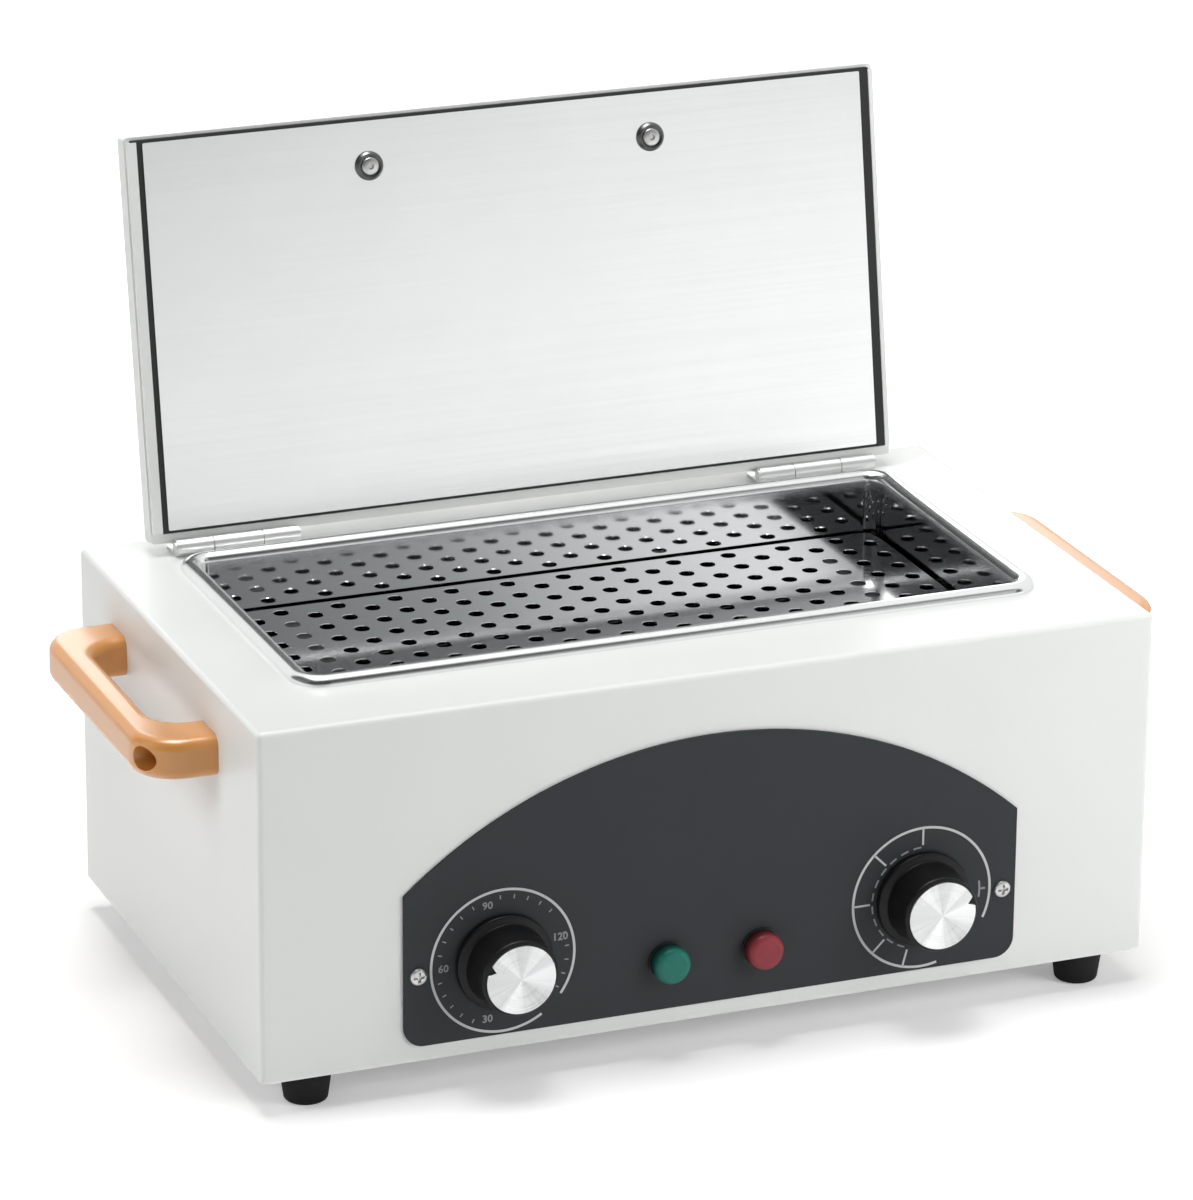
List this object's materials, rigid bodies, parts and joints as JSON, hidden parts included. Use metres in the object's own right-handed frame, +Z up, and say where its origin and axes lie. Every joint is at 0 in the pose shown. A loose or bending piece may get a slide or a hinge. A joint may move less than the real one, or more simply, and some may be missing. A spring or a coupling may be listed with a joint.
{
  "type": "dry heat sterilizer",
  "caption": "Small bench dry heat sterilizer: folded steel case with a polished tank, perforated tray, hinged lid, timer and temperature knobs, pilot lamps and side handles.",
  "frame": {"origin": "on the bench under the middle of the case, midway between the four feet", "axes": "+X to the right seen from the front, +Y to the back, +Z up"},
  "size_m": [0.418, 0.2765, 0.3135],
  "materials": {
    "case_paint": "satin powder coat",
    "lid_paint": "satin powder coat",
    "panel_paint": "satin",
    "tank_steel": "mirror polished stainless steel",
    "liner_steel": "bright rolled stainless steel",
    "zinc_steel": "bright zinc",
    "screw_steel": "plain steel",
    "washer_steel": "blackened",
    "foot_rubber": "matte",
    "seal_rubber": "matte",
    "handle_plastic": "moulded, satin",
    "knob_plastic": "moulded",
    "knob_metal": "spun",
    "lamp_plastic": "moulded",
    "lens_green": "clear tinted",
    "lens_red": "clear tinted",
    "control_metal": "plain steel",
    "wool": "mineral wool",
    "copper": "drawn tube",
    "ceramic": "glazed",
    "inlet_plastic": "moulded"
  },
  "bodies": {
    "case": {"base_plate": "zinc_steel", "base_screws": "screw_steel", "case_shell": "case_paint", "chamber_tank": "tank_steel", "control_nuts": "screw_steel", "foot_front_left": "foot_rubber", "foot_front_right": "foot_rubber", "foot_nuts": "screw_steel", "foot_rear_left": "foot_rubber", "foot_rear_right": "foot_rubber", "foot_screws": "screw_steel", "front_panel": "panel_paint", "handle_left": "handle_plastic", "handle_nuts": "screw_steel", "handle_right": "handle_plastic", "handle_screws": "screw_steel", "heat_probe": "copper", "heat_unit": "control_metal", "heater_element": "control_metal", "heater_press_plate": "zinc_steel", "hinge_case_leaf_left": "zinc_steel", "hinge_case_leaf_right": "zinc_steel", "hinge_case_screws": "screw_steel", "hinge_pin_left": "zinc_steel", "hinge_pin_right": "zinc_steel", "inlet_pins": "knob_metal", "inlet_screws": "screw_steel", "lamp_holder_green": "lamp_plastic", "lamp_holder_red": "lamp_plastic", "lamp_lens_green": "lens_green", "lamp_lens_red": "lens_red", "lamp_nuts": "lamp_plastic", "mains_inlet": "inlet_plastic", "overheat_cutout": "control_metal", "panel_screws": "screw_steel", "perforated_tray": "tank_steel", "tank_bridge_left": "zinc_steel", "tank_bridge_right": "zinc_steel", "tank_insulation": "wool", "terminal_block": "ceramic", "timer_unit": "control_metal", "tray_legs": "tank_steel"},
    "lid": {"hinge_lid_leaf_left": "zinc_steel", "hinge_lid_leaf_right": "zinc_steel", "hinge_lid_screws": "screw_steel", "lid_handle": "handle_plastic", "lid_insulation": "wool", "lid_liner": "liner_steel", "lid_seal": "seal_rubber", "lid_shell": "lid_paint", "liner_screws": "screw_steel", "liner_washers": "washer_steel"},
    "timer": {"timer_knob": "knob_plastic", "timer_knob_cap": "knob_metal", "timer_shaft": "screw_steel"},
    "heat_control": {"heat_knob": "knob_plastic", "heat_knob_cap": "knob_metal", "heat_shaft": "screw_steel"}
  },
  "joints": [
    {"name": "lid_hinge", "type": "hinge", "parent": "case", "child": "lid", "pos_m": [0, 0.0838, 0.1557], "axis": [1, 0, 0], "range_deg": [0, 99.7]},
    {"name": "timer_turn", "type": "hinge", "parent": "case", "child": "timer", "pos_m": [-0.0853, -0.108, 0.0495], "axis": [0, 1, 0], "range_deg": [-113, 187]},
    {"name": "heat_turn", "type": "hinge", "parent": "case", "child": "heat_control", "pos_m": [0.0853, -0.108, 0.0495], "axis": [0, 1, 0], "range_deg": [-251, 49]}
  ]
}
